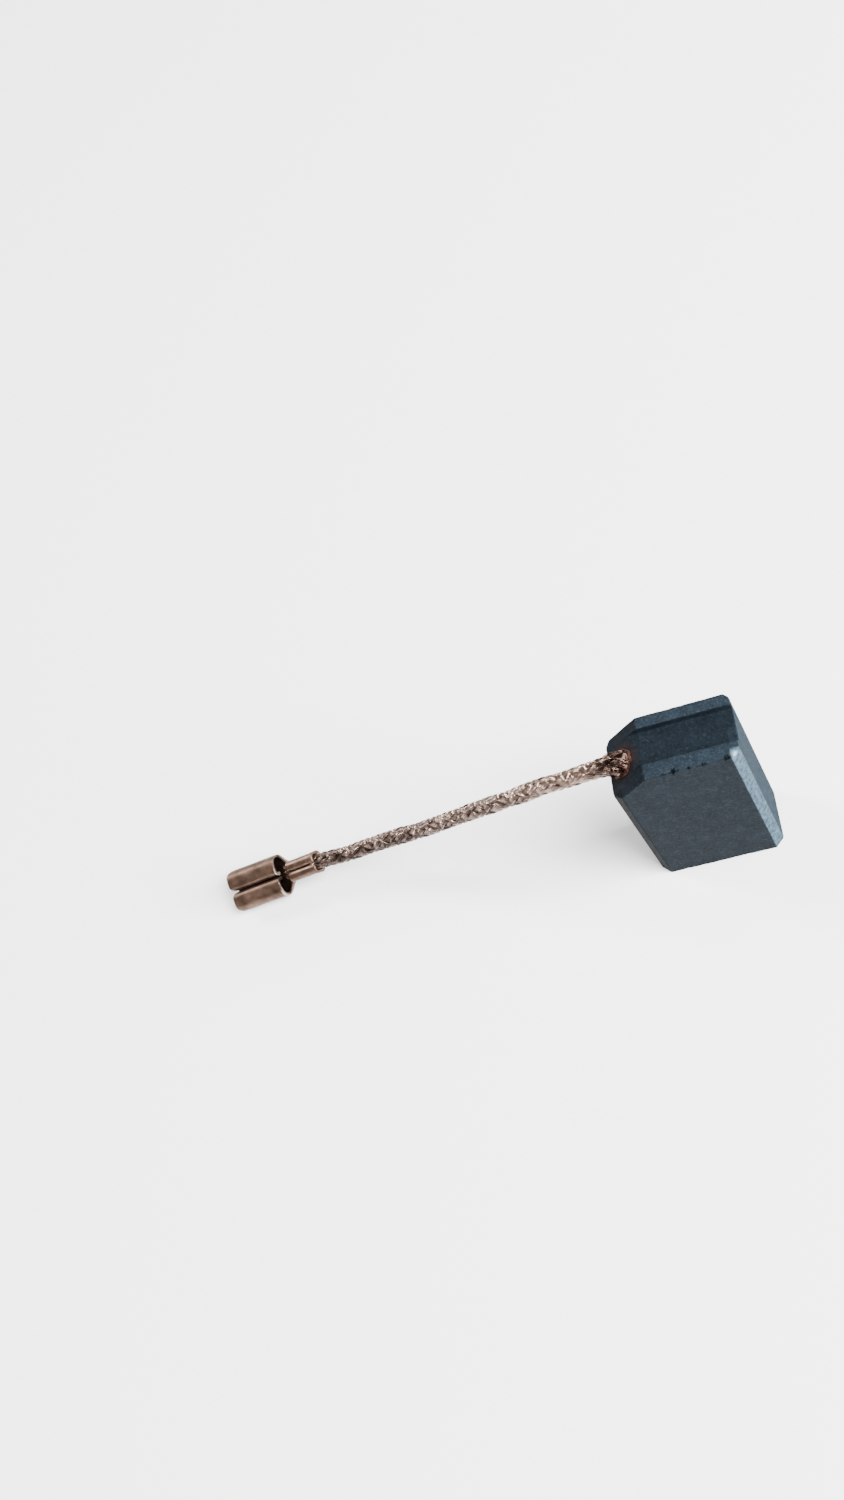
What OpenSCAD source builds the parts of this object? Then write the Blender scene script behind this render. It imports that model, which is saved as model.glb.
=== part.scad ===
// Carbon brush of the kind an angle grinder uses: a pressed carbon-graphite block with a
// braided copper shunt lead tamped into its slanted corner, and a crimped push-on receptacle
// on the lead's free end. Millimetres. Origin at the centre of the contact face, +Z towards
// the spring end, -X on the lead side, -Y and +Y the two broad faces.

/* [Carbon block] */
// Width of the block across its broad faces, the long side of the brush box
body_w = 10; // [9:0.25:12]
// Thickness of the block between its broad faces
body_t = 5.2; // [4.5:0.1:6.5]
// Length of the block from contact face to spring end
body_l = 16.5; // [14:0.5:20]
// Leg of the 45 degree chamfer along the two long edges of the -Y face
front_chamfer = 0.7; // [0.3:0.1:1]
// Leg of the 45 degree chamfer along the two long edges of the +Y face
back_chamfer = 0.4; // [0.2:0.1:0.7]

/* [Spring channel] */
// Width of the shallow channel that seats the spring
channel_w = 3; // [2.2:0.1:3.2]
// Depth of the channel below the spring end
channel_depth = 0.7; // [0.3:0.05:0.8]
// Shift of the channel from the middle of the thickness
channel_shift = 0.15; // [0:0.05:0.4]

/* [Slanted corner] */
// Run of the slanted face along the width
slant_run = 3; // [2.6:0.1:3.4]
// Drop of the slanted face along the length
slant_drop = 2.5; // [2:0.1:3]

/* [Lead hole] */
// Diameter of the drilled hole for the lead
hole_d = 2.1; // [1.9:0.05:2.15]
// Depth of the hole along its axis to the start of the drill point
hole_depth = 4; // [3:0.25:5]
// Elevation of the hole axis above the contact face's plane
hole_tilt = 35; // [30:1:45]
// Distance of the hole centre from the slanted face's upper edge, along the width
hole_run = 1.75; // [1.7:0.05:2]
// Full angle of the drill point
drill_angle = 118; // [100:2:140]

/* [Shunt lead] */
// Diameter of the braided lead
lead_d = 1.4; // [1.2:0.1:1.5]
// Diameter of the braid where it spreads into the tamped powder
lead_root_d = 1.9; // [1.7:0.1:2]
// Length of the spread braid outside the hole centre
lead_root_l = 0.75; // [0.65:0.05:0.9]
// Elevation of the lead where it leaves the block
lead_tilt = 8; // [0:1:16]
// Distance from the block's middle to the receptacle's wire end, along the width
lead_reach = 34.3; // [32:0.1:36]
// Sideways drift of the receptacle's wire end from the block's middle plane
lead_drift = 5.4; // [4.5:0.1:6.5]

/* [Push-on receptacle] */
// Thickness of the folded strip
sheet_t = 0.3; // [0.2:0.02:0.32]
// Width over the two rolled wings
term_w = 3.8; // [3.6:0.1:4.2]
// Height over the rolled wings
term_h = 1.9; // [1.7:0.1:2.1]
// Length of the rolled part that takes the tab
barrel_l = 4.8; // [4.2:0.1:6]
// Outer radius of the bend between floor and wing
low_bend_r = 0.45; // [0.4:0.05:0.55]
// Outer radius where each wing turns down at the seam
seam_bend_r = 0.55; // [0.45:0.05:0.65]
// Gap between the two wings along the seam
seam_gap = 0.14; // [0.08:0.02:0.24]
// Height of the slot under the wing edges that grips the tab
tab_slot_h = 0.5; // [0.4:0.05:0.6]
// Corner radius of the floor and wings at the tab end
tip_corner_r = 0.5; // [0.3:0.05:0.6]

/* [Neck and crimp] */
// Length of the open neck between crimp and rolled part
neck_l = 1.2; // [0.9:0.1:1.5]
// Height of the neck's side walls
neck_h = 0.65; // [0.5:0.05:1.1]
// Width over the crimp
crimp_w = 1.9; // [1.8:0.1:2.2]
// Height over the crimp
crimp_h = 1.5; // [1.4:0.1:1.7]
// Length of the crimp along the strands
crimp_l = 3.1; // [2.6:0.1:3.6]
// Length of strand ends showing past the crimp in the neck
strand_out = 0.4; // [0.2:0.05:0.6]
// Length of compressed strands before the crimp mouth
strand_in = 0.25; // [0.15:0.05:0.4]

/* [How it lies] */
// Nose-down pitch of the receptacle's rolled part
term_pitch = 4; // [2:1:8]
// Roll of the receptacle about its own length
term_roll = 30; // [24:1:36]
// Swing of the receptacle's tab end about the upright, towards the -Y side
term_yaw = 4; // [0:1:8]
// Upward bend of the crimp where the strip leaves the neck
neck_bend = 12; // [6:1:16]

/* [Hidden] */
$fn = 48;
eps = 0.01;

// The slanted corner and the hole drilled into it
slant_angle = atan2(slant_drop, slant_run);
root_x = -body_w / 2 + slant_run - hole_run;
root_z = body_l - hole_run * slant_drop / slant_run;
hole_r = hole_d / 2;
drill_h = hole_r / tan(drill_angle / 2);
lead_dir = [-cos(lead_tilt), 0, sin(lead_tilt)];
lead_start = [root_x, 0, root_z] + lead_root_l * lead_dir;

// The receptacle's sections: half heights, centres of its bends and its total length
term_l = crimp_l + neck_l + barrel_l;
barrel_x = crimp_l + neck_l;
floor_z = -term_h / 2;
crimp_z = floor_z + crimp_h / 2;
roll_r = term_h / 2;
crimp_top_r = 0.5;
crimp_low_r = 0.5;
crimp_seam_r = 0.36;
crimp_gap = 0.04;
crimp_slot_h = 0.35;
neck_in_w = crimp_w - 2 * crimp_low_r;
neck_out_w = term_w - 2 * low_bend_r;

// Turning a direction about X, Y and Z, and from the receptacle's own axes to where it lies
function turn_x(v, a) = [v[0], v[1] * cos(a) - v[2] * sin(a), v[1] * sin(a) + v[2] * cos(a)];
function turn_y(v, a) = [v[0] * cos(a) + v[2] * sin(a), v[1], v[2] * cos(a) - v[0] * sin(a)];
function turn_z(v, a) = [v[0] * cos(a) - v[1] * sin(a), v[0] * sin(a) + v[1] * cos(a), v[2]];
function laid(v) = turn_z(turn_y(turn_x(v, -term_roll), term_pitch), 180 + term_yaw);

// The height that puts the receptacle's lowest bend on the ground
bend_y = term_w / 2 - low_bend_r;
bend_z = term_h / 2 - low_bend_r;
low_reach = bend_y * sin(term_roll) + bend_z * cos(term_roll) + low_bend_r;
mouth_z = term_l * sin(term_pitch) + cos(term_pitch) * low_reach;
term_at = [-lead_reach, lead_drift, mouth_z];

// Where the strands leave the crimp, and which way they run there
hinge = [crimp_l, 0, floor_z];
strand_at = [-strand_in, 0, crimp_z];
lead_end = term_at + laid(hinge + turn_y(strand_at - hinge, neck_bend));
axis_dir = laid(turn_y([1, 0, 0], neck_bend));

// Route of the lead, chosen by hand from the slanted corner to the crimp mouth
route = [
  [-4.5, 0, 15.1],
  [-5.4, 0, 15.1],
  [-6.8, 0.1, 14.8],
  [-8.4, 0.2, 14.4],
  [-10.3, 0.5, 13.8],
  [-12.2, 0.8, 12.9],
  [-14.2, 1.2, 11.9],
  [-17, 1.9, 10.3],
  [-20, 2.6, 8.6],
  [-23, 3.3, 6.9],
  [-26, 4, 5.5],
  [-29, 4.6, 4.1],
  [-31.5, 4.9, 3.2],
  [-34.3, 5.2, 2.7]
];
lead_sides = 8;

// The route carried along when the block, the reach or the receptacle changes size
last = len(route) - 1;
start_shift = lead_start - route[0];
end_shift = lead_end - route[last];
function along(i) = (route[0][0] - route[i][0]) / (route[0][0] - route[last][0]);
function stop(i) = route[i] + (1 - along(i)) * start_shift + along(i) * end_shift;
function unit(v) = v / norm(v);
function heading(i) = i == 0 ? lead_dir : i == last ? axis_dir : unit(stop(i + 1) - stop(i - 1));
function side_of(v) = unit(cross(v, [0, 0, 1]));
function ring(i) = [
  for (k = [0 : lead_sides - 1])
    let (turn = 360 * (k + 0.5) / lead_sides, s = side_of(heading(i)), u = cross(s, heading(i)))
      stop(i) + lead_d / 2 * (cos(turn) * s + sin(turn) * u)
];
function band(i) = [
  for (k = [0 : lead_sides - 1])
    let (a = i * lead_sides, n = (k + 1) % lead_sides)
      each [[a + k, a + n, a + n + lead_sides], [a + k, a + n + lead_sides, a + k + lead_sides]]
];

// Block outline across its length: a rectangle with its four corners cut at 45 degrees
module block_outline() {
  x = body_w / 2;
  y = body_t / 2;
  f = front_chamfer;
  b = back_chamfer;
  polygon([
    [x - f, -y], [x, -y + f], [x, y - b], [x - b, y],
    [-x + b, y], [-x, y - b], [-x, -y + f], [-x + f, -y]
  ]);
}

// Everything above the slanted face, in place
module above_slant() {
  translate([-body_w / 2 + slant_run, 0, body_l])
    rotate([0, -slant_angle, 0])
      translate([-body_l, -body_t, 0])
        cube([2 * body_l, 2 * body_t, body_l]);
}

// The shallow channel across the spring end
module channel() {
  translate([-body_w, channel_shift - channel_w / 2, body_l - channel_depth])
    cube([2 * body_w, channel_w, 2 * channel_depth]);
}

// Turns a solid that stands on +Z so that it stands out of the slanted face at an elevation
module out_of_slant(tilt) {
  translate([root_x, 0, root_z])
    rotate([0, tilt - 90, 0])
      children();
}

// The drilled space: a straight bore with a drill point, over-long at its mouth
module drilled(out) {
  out_of_slant(hole_tilt)
    rotate_extrude()
      polygon([
        [0, -hole_depth - drill_h], [hole_r, -hole_depth], [hole_r, out], [0, out]
      ]);
}

// Pressed carbon block: chamfered bar, spring channel, slanted corner and lead hole
module carbon_block() {
  color([0.24, 0.27, 0.3])
    difference() {
      linear_extrude(height = body_l)
        block_outline();
      channel();
      above_slant();
      drilled(3);
    }
}

// Root of the braid, spread where it leaves the powder
module braid_root() {
  out_of_slant(lead_tilt)
    translate([0, 0, -lead_root_l])
      cylinder(h = 2 * lead_root_l, r1 = lead_root_d / 2, r2 = lead_d / 2);
}

// Tamped copper powder that fills the hole flush, with the spread root of the braid in it
module tamping_plug() {
  color([0.56, 0.34, 0.24]) {
    difference() {
      drilled(3);
      above_slant();
      channel();
    }
    intersection() {
      braid_root();
      union() {
        above_slant();
        drilled(3);
      }
    }
  }
}

// Braided lead from the root to the crimp, a ring of corners carried along the route
module shunt_lead() {
  color([0.6, 0.42, 0.34])
    polyhedron(
      points = [for (i = [0 : last]) each ring(i)],
      faces = concat(
        [[for (k = [0 : lead_sides - 1]) lead_sides - 1 - k]],
        [for (i = [0 : last - 1]) each band(i)],
        [[for (k = [0 : lead_sides - 1]) last * lead_sides + k]]
      )
    );
}

// Room inside a pair of rolled wings: two rounded pockets joined by a slot on the floor
module roll_room(w, h, r_top, r_low, r_seam, gap, slot_h) {
  t = sheet_t;
  for (s = [-1, 1])
    scale([s, 1]) {
      in_x = gap / 2 + t;
      translate([w / 2 - r_top, h / 2 - r_top])
        circle(r = r_top - t);
      translate([gap / 2 + r_seam, h / 2 - r_seam])
        circle(r = r_seam - t);
      translate([w / 2 - r_low, r_low - h / 2])
        circle(r = r_low - t);
      translate([in_x, t - h / 2])
        square([w / 2 - r_low - in_x, h - t - r_seam]);
      translate([in_x, r_low - h / 2])
        square([w / 2 - t - in_x, h - r_low - r_top]);
      translate([gap / 2 + r_seam, t - h / 2 + r_low])
        square([w / 2 - r_top - gap / 2 - r_seam, h - 2 * t - r_low]);
    }
  translate([-w / 4, t - h / 2])
    square([w / 2, slot_h]);
}

// Outline around a pair of rolled wings, with the valley where the wings meet
module roll_skin(w, h, r_top, r_low, r_seam, gap) {
  for (s = [-1, 1])
    scale([s, 1]) {
      translate([w / 2 - r_top, h / 2 - r_top])
        circle(r = r_top);
      translate([gap / 2 + r_seam, h / 2 - r_seam])
        circle(r = r_seam);
      translate([w / 2 - r_low, r_low - h / 2])
        circle(r = r_low);
      translate([gap / 2, -h / 2])
        square([w / 2 - r_low - gap / 2, h - r_seam]);
      translate([gap / 2, r_low - h / 2])
        square([w / 2 - gap / 2, h - r_low - r_top]);
      translate([gap / 2 + r_seam, 0])
        square([w / 2 - r_top - gap / 2 - r_seam, h / 2]);
    }
  translate([-w / 4, -h / 2])
    square([w / 2, sheet_t]);
}

// Section of the folded strip where its wings are rolled over to the middle
module rolled_strip(w, h, r_top, r_low, r_seam, gap, slot_h) {
  difference() {
    roll_skin(w, h, r_top, r_low, r_seam, gap);
    roll_room(w, h, r_top, r_low, r_seam, gap, slot_h);
  }
}

// Stands a section drawn across the strip upright and runs it along the strip
module run_along(from, long) {
  translate([from, 0, 0])
    rotate([90, 0, 90])
      linear_extrude(height = long)
        children();
}

// Space inside the crimp that the strands are pressed into
module crimp_room() {
  translate([0, crimp_z])
    roll_room(
      crimp_w, crimp_h, crimp_top_r, crimp_low_r, crimp_seam_r, crimp_gap, crimp_slot_h
    );
}

// Lobes with rounded corners at the tab end, one lobe or two, used to trim the strip's end
module tip_lobe(y0, y1) {
  r = tip_corner_r;
  translate([barrel_x - 1, y0])
    square([barrel_l + 1 - r, y1 - y0]);
  translate([barrel_x, y0 + r])
    square([barrel_l, y1 - y0 - 2 * r]);
  for (y = [y0 + r, y1 - r])
    translate([barrel_x + barrel_l - r, y])
      circle(r = r);
}

// Rolled part of the receptacle with rounded corners on its floor and on each wing
module barrel() {
  intersection() {
    run_along(barrel_x, barrel_l)
      rolled_strip(term_w, term_h, roll_r, low_bend_r, seam_bend_r, seam_gap, tab_slot_h);
    union() {
      translate([0, 0, floor_z - 1])
        linear_extrude(height = 1 + low_bend_r)
          tip_lobe(-term_w / 2, term_w / 2);
      translate([0, 0, floor_z + low_bend_r - eps])
        linear_extrude(height = term_h)
          union() {
            tip_lobe(-term_w / 2, -seam_gap / 2);
            tip_lobe(seam_gap / 2, term_w / 2);
          }
    }
  }
}

// Open trough between the crimp and the rolled part: a floor that widens and two side walls
module neck() {
  x0 = crimp_l - eps;
  x1 = barrel_x + eps;
  translate([0, 0, floor_z])
    linear_extrude(height = sheet_t)
      polygon([
        [x0, -neck_in_w / 2], [x1, -neck_out_w / 2], [x1, neck_out_w / 2], [x0, neck_in_w / 2]
      ]);
  for (s = [-1, 1])
    translate([0, 0, floor_z + sheet_t / 2])
      linear_extrude(height = neck_h - sheet_t / 2)
        polygon([
          [x0, s * (crimp_w / 2)], [x1, s * (term_w / 2)],
          [x1, s * (term_w / 2 - sheet_t)], [x0, s * (crimp_w / 2 - sheet_t)]
        ]);
  for (s = [-1, 1])
    translate([0, 0, floor_z + sheet_t / 3])
      linear_extrude(height = sheet_t * 2 / 3)
        polygon([
          [x0, s * (neck_in_w / 2 - sheet_t / 2)], [x0, s * (crimp_w / 2 - sheet_t / 2)],
          [x1, s * (term_w / 2 - sheet_t / 2)], [x1, s * (neck_out_w / 2 - sheet_t / 2)]
        ]);
}

// Moves the receptacle from its own axes to where it lies, nose down on the ground
module lie_down() {
  translate(term_at)
    rotate([-term_roll, term_pitch, 180 + term_yaw])
      children();
}

// Bends what belongs to the crimp up about the strip's outer face at the neck
module bend_up() {
  translate(hinge)
    rotate([0, neck_bend, 0])
      translate(-hinge)
        children();
}

// Push-on receptacle folded from one strip: rolled wings, open neck and strand crimp
module terminal() {
  color([0.62, 0.45, 0.36])
    lie_down() {
      barrel();
      neck();
      bend_up()
        run_along(0, crimp_l)
          translate([0, crimp_z])
            rolled_strip(
              crimp_w, crimp_h, crimp_top_r, crimp_low_r, crimp_seam_r, crimp_gap, crimp_slot_h
            );
    }
}

// Strands pressed solid in the crimp, a little out of it at both ends
module crimped_end() {
  color([0.6, 0.42, 0.34])
    lie_down()
      union() {
        bend_up()
          run_along(-strand_in, strand_in + crimp_l)
            crimp_room();
        run_along(crimp_l - sheet_t / 2, sheet_t / 2 + strand_out)
          crimp_room();
      }
}

carbon_block();
tamping_plug();
shunt_lead();
crimped_end();
terminal();
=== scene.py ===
"""A carbon motor brush standing on its contact face, with its braided lead and its receptacle resting on the table."""
import math
import bpy
import numpy as np
from mathutils import Matrix, Vector


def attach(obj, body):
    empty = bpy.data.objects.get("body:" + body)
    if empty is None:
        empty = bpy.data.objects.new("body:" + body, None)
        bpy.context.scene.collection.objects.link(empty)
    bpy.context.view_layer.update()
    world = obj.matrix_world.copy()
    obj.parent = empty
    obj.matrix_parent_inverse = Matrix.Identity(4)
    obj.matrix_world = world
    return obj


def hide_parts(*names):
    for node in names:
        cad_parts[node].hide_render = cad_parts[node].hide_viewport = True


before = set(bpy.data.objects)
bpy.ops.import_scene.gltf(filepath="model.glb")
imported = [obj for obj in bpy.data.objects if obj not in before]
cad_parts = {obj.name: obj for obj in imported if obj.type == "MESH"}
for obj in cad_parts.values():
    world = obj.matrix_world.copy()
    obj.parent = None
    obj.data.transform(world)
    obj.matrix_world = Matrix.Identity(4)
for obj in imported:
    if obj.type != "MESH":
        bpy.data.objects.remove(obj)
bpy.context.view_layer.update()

MM = 0.001
TAU = 2 * math.pi

# ---------------------------------------------------------------- camera
CAMERA_AT, CAMERA_AIM, CAMERA_TURN = (0.01615, -0.05317, 0.11076), (-0.02484, 0.01498, 0), 41.6
SENSOR_H, LENS = 36, 36
NEAREST, FARTHEST = 0.005, 10


def look(place, target, turned):
    """Camera at place that looks at target, turned clockwise about its line of sight by so many degrees."""
    cam = bpy.data.objects.new("camera", bpy.data.cameras.new("camera"))
    bpy.context.scene.collection.objects.link(cam)
    cam.data.sensor_fit = "VERTICAL"
    cam.data.sensor_height = SENSOR_H
    cam.data.lens = LENS
    cam.data.clip_start = NEAREST
    cam.data.clip_end = FARTHEST
    ahead = (Vector(target) - Vector(place)).normalized()
    right = ahead.cross(Vector((0, 0, 1))).normalized()
    up = right.cross(ahead)
    c, s = math.cos(math.radians(turned)), math.sin(math.radians(turned))
    x, y = c * right - s * up, s * right + c * up
    cam.matrix_world = Matrix.Translation(place) @ Matrix((x, y, -ahead)).transposed().to_4x4()
    bpy.context.scene.camera = cam


look(CAMERA_AT, CAMERA_AIM, CAMERA_TURN)

# ---------------------------------------------------------------- sizes in millimetres, as in the part
BODY_W, BODY_T, BODY_L, CHAMFER, BACK_CHAMFER = 10.0, 5.2, 16.5, 0.7, 0.4
CHANNEL_W, CHANNEL_D, CHANNEL_SHIFT = 3.0, 0.7, 0.15
CHANNEL_Z = BODY_L - CHANNEL_D
SLANT_RUN, SLANT_DROP = 3.0, 2.5
HOLE_TILT, HOLE_RUN, LEAD_TILT = math.radians(35), 1.75, math.radians(8)
ROOT = np.array([SLANT_RUN - BODY_W / 2 - HOLE_RUN, 0.0, BODY_L - HOLE_RUN * SLANT_DROP / SLANT_RUN])
LEAD_DIR = np.array([-math.cos(LEAD_TILT), 0.0, math.sin(LEAD_TILT)])
HOLE_DIR = np.array([-math.cos(HOLE_TILT), 0.0, math.sin(HOLE_TILT)])
LEAD_D, ROOT_L = 1.4, 0.75
PITCH, ROLL, YAW, BEND = (math.radians(a) for a in (4, 30, 184, 12))
TERM_W, TERM_H, SHEET = 3.8, 1.9, 0.3
BARREL_L, NECK_L, CRIMP_L = 4.8, 1.2, 3.1
CRIMP_W, CRIMP_H = 1.9, 1.5
TERM_L = BARREL_L + NECK_L + CRIMP_L
LOW_BEND = 0.45
STRAND_IN, STRAND_OUT = 0.25, 0.4
RNG = np.random.default_rng(7)


def turning(rx, ry, rz):
    """Rotation matrix of turns about X, then Y, then Z."""
    return np.array(Matrix.Rotation(rz, 3, "Z") @ Matrix.Rotation(ry, 3, "Y") @ Matrix.Rotation(rx, 3, "X"))


LYING = turning(-ROLL, PITCH, YAW)
REACH = (TERM_W / 2 - LOW_BEND) * math.sin(ROLL) + (TERM_H / 2 - LOW_BEND) * math.cos(ROLL) + LOW_BEND
TERM_AT = np.array([-34.3, 5.4, TERM_L * math.sin(PITCH) + math.cos(PITCH) * REACH])
CRIMP_Z = (CRIMP_H - TERM_H) / 2


def lie(points):
    """Points in the receptacle's own axes, moved to where it lies."""
    return np.asarray(points) @ LYING.T + TERM_AT


def bent(points, amount=1.0):
    """Points of the crimp, turned up about the strip's outer face at the neck by amount of the full bend."""
    x, y, z = np.moveaxis(np.asarray(points, float) - [CRIMP_L, 0, -TERM_H / 2], -1, 0)
    c, s = np.cos(BEND * amount), np.sin(BEND * amount)
    return np.stack([x * c + z * s + CRIMP_L, y, z * c - x * s - TERM_H / 2], -1)


# ---------------------------------------------------------------- helpers
def unit(v):
    """Vectors scaled to length one along the last axis."""
    return v / np.maximum(np.linalg.norm(v, axis=-1, keepdims=True), 1e-12)


def value_noise(p, scale, seed):
    """Smooth noise in about -1 to 1 at points p: values on a cubic lattice of cells of that scale, hashed from the
    corner's whole numbers and the seed, and blended by the smooth weights f*f*(3-2f) along each axis."""
    q = np.asarray(p, float) / scale + 1000.0
    cell = np.floor(q).astype(np.int64)
    f = q - cell
    f = f * f * (3 - 2 * f)
    total = np.zeros(q.shape[:-1])
    for dx in (0, 1):
        for dy in (0, 1):
            for dz in (0, 1):
                n = (cell[..., 0] + dx) * 374761393 + (cell[..., 1] + dy) * 668265263
                n = (n + (cell[..., 2] + dz) * 2147483647 + seed * 974634777) & 0xFFFFFFFF
                n = ((n ^ (n >> 13)) * 1274126177) & 0xFFFFFFFF
                v = ((n ^ (n >> 16)) & 0xFFFF) / 32767.5 - 1
                w = (f[..., 0] if dx else 1 - f[..., 0]) * (f[..., 1] if dy else 1 - f[..., 1])
                total += v * w * (f[..., 2] if dz else 1 - f[..., 2])
    return total


def rough(p, scale, seed, octaves=3):
    """Several octaves of value_noise, each half as large and half as strong as the one before."""
    return sum(value_noise(p, scale / 2**k, seed + k) / 2**k for k in range(octaves))


def lane(s, second=0, third=0):
    """Points for noise along a length s, in a lane of its own given by the other two coordinates."""
    return np.stack([s, 0 * s + second, 0 * s + third], -1)


def step(x, a, b):
    """Smooth rise from 0 at a to 1 at b."""
    t = np.clip((x - a) / (b - a), 0, 1)
    return t * t * (3 - 2 * t)


def hump(x, centre, width):
    """Bell curve exp(-((x-centre)/width)^2), 1 at its centre."""
    return np.exp(-(((x - centre) / width) ** 2))


def grid_faces(rows, cols, closed, first=0):
    """Quads of a grid of rows by cols points, the columns joined round when closed."""
    r = np.arange(rows - 1)[:, None]
    c = np.arange(cols if closed else cols - 1)[None, :]
    n = (c + 1) % cols
    return np.stack([r * cols + c, r * cols + n, (r + 1) * cols + n, (r + 1) * cols + c], -1).reshape(-1, 4) + first


def tube_ends(first, last, sides):
    """Triangle fans that close both ends of tubes, whose first and last rings start at the points first and last."""
    fans = []
    for k in range(1, sides - 1):
        fans += [np.stack([first, first + k + 1, first + k], -1), np.stack([last, last + k, last + k + 1], -1)]
    return np.concatenate(fans)


def make(name, points, quads, tris=None, smooth=True, attributes=None):
    """Mesh object of points in millimetres with quads, and triangles if any."""
    mesh = bpy.data.meshes.new(name)
    points = np.asarray(points, float).reshape(-1, 3) * MM
    quads = np.asarray(quads, np.int32).reshape(-1, 4)
    tris = np.zeros((0, 3), np.int32) if tris is None else np.asarray(tris, np.int32).reshape(-1, 3)
    loops = np.concatenate([quads.ravel(), tris.ravel()])
    mesh.vertices.add(len(points))
    mesh.vertices.foreach_set("co", points.astype(np.float32).ravel())
    mesh.loops.add(len(loops))
    mesh.loops.foreach_set("vertex_index", loops)
    mesh.polygons.add(len(quads) + len(tris))
    starts = np.concatenate([np.arange(len(quads)) * 4, len(quads) * 4 + np.arange(len(tris)) * 3])
    mesh.polygons.foreach_set("loop_start", starts.astype(np.int32))
    mesh.update(calc_edges=True)
    mesh.validate()
    mesh.polygons.foreach_set("use_smooth", np.full(len(mesh.polygons), smooth))
    for key, values in (attributes or {}).items():
        layer = mesh.attributes.new(key, "FLOAT", "POINT")
        layer.data.foreach_set("value", np.asarray(values, np.float32).ravel())
    obj = bpy.data.objects.new(name, mesh)
    bpy.context.scene.collection.objects.link(obj)
    return obj


def spline(points, count, samples=3000):
    """Catmull-Rom curve through the points, resampled to count points at equal distances."""
    p = np.asarray(points, float)
    p = np.vstack([2 * p[0] - p[1], p, 2 * p[-1] - p[-2]])
    t = np.linspace(0, len(p) - 3 - 1e-9, samples)
    i = t.astype(int)
    u = (t - i)[:, None]
    a, b, c, d = p[i], p[i + 1], p[i + 2], p[i + 3]
    q = 0.5 * (2 * b + (c - a) * u + (2 * a - 5 * b + 4 * c - d) * u**2 + (3 * b - a - 3 * c + d) * u**3)
    s = np.concatenate([[0], np.cumsum(np.linalg.norm(np.diff(q, axis=0), axis=1))])
    w = np.linspace(0, s[-1], count)
    return np.stack([np.interp(w, s, q[:, k]) for k in range(3)], -1), w


def frames(path):
    """Unit side and up vectors square to a path that never runs upright."""
    ahead = unit(np.gradient(path, axis=0))
    side = unit(np.cross(ahead, [0, 0, 1]))
    return side, np.cross(side, ahead)


def wires(paths, radius, sides):
    """Round wires along paths of shape (wires, stations, 3): a ring of sides points carried along each."""
    paths = np.asarray(paths, float)
    n, m = paths.shape[:2]
    ahead = unit(np.gradient(paths, axis=1))
    ref = np.where(np.abs(ahead[..., 2:3]) > 0.9, [1.0, 0, 0], [0, 0, 1.0])
    side = unit(np.cross(ahead, ref))
    up = np.cross(side, ahead)
    a = TAU * np.arange(sides) / sides
    ring = paths[:, :, None] + radius * (np.cos(a)[:, None] * side[:, :, None] + np.sin(a)[:, None] * up[:, :, None])
    first = np.arange(n) * m * sides
    quads = (grid_faces(m, sides, True)[None] + first[:, None, None]).reshape(-1, 4)
    return ring.reshape(-1, 3), quads, tube_ends(first, first + (m - 1) * sides, sides)


# ---------------------------------------------------------------- the lead
# the route's points in metres, as the part has them
ROUTE = (
    (-0.0045, 0, 0.0151),
    (-0.0054, 0, 0.0151),
    (-0.0068, 0.0001, 0.0148),
    (-0.0084, 0.0002, 0.0144),
    (-0.0103, 0.0005, 0.0138),
    (-0.0122, 0.0008, 0.0129),
    (-0.0142, 0.0012, 0.0119),
    (-0.0170, 0.0019, 0.0103),
    (-0.0200, 0.0026, 0.0086),
    (-0.0230, 0.0033, 0.0069),
    (-0.0260, 0.0040, 0.0055),
    (-0.0290, 0.0046, 0.0041),
    (-0.0315, 0.0049, 0.0032),
    (-0.0343, 0.0052, 0.0027),
)
BURIED_L, HELD_L = 0.9, 0.6  # how far the braid runs on into the powder, and into the crimp

# the braid's make: carriers of each hand, wires on a carrier, length of one full turn, and wire and core sections
CARRIERS, PER_CARRIER, STATIONS = 6, 7, 226
TURN_L, COVER = 8.6, 0.84
WIRE_R, WIRE_SIDES, WIRE_DEPTH = 0.036, 5, 0.075
CORE_SIDES, CORE_DEPTH, CORE_LEAST = 12, 0.10, 0.2
RELIEF, LOOSE = 0.062, 0.010  # how far a wire passes over and under, and how far it strays from its place
FANNED, SWAYED = 0.12, 0.02  # how much a stray wire is off its place in its carrier, and off its carrier's angle
TWIST, WANDER, SLACK_FLAT, LAID_FLAT = 0.10, 0.05, 0.04, 0.08  # unevenness of angle, radius and roundness
SPREAD, SPREAD_BACK, SPREAD_ON = 0.24, 1.2, 1.15  # swelling where the powder spreads the strands
SPREAD_LOOSE, SPREAD_APART, SPREAD_CORE = 3, 0.05, 0.3  # how much looser the wires lie there, and how the core thins
NIP_FROM, NIP_TO = 2.0, 0.7  # lengths before the far end between which the crimp takes the slack out

# tones of the copper: the same all along, then a painted highlight near the block that turns darker towards the far
# end, painted shade where wires pass under, and painted light on one side, with the lengths from the buried end over
# which each fades
# the core's low tone is painted shade in the gaps between the wire bundles
TONE, TONE_SPREAD, CORE_SHADE_TONE = 0.31, 0.15, 0.15
NEAR_BLOCK_GLINT, WEAVE_PAINTED_SHADE, SIDE_PAINTED_LIGHT, FAR_END_DARKER, EVENED = 0.29, 0.13, 0.09, 0.03, 0.7
NEAR_BLOCK_GLINT_TO, FAR_END_DARKER_FROM, EVEN_FROM, DUST_SHADE_TO = (5, 14), (16, 28), (15, 27), (1.8, 3.6)


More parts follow.
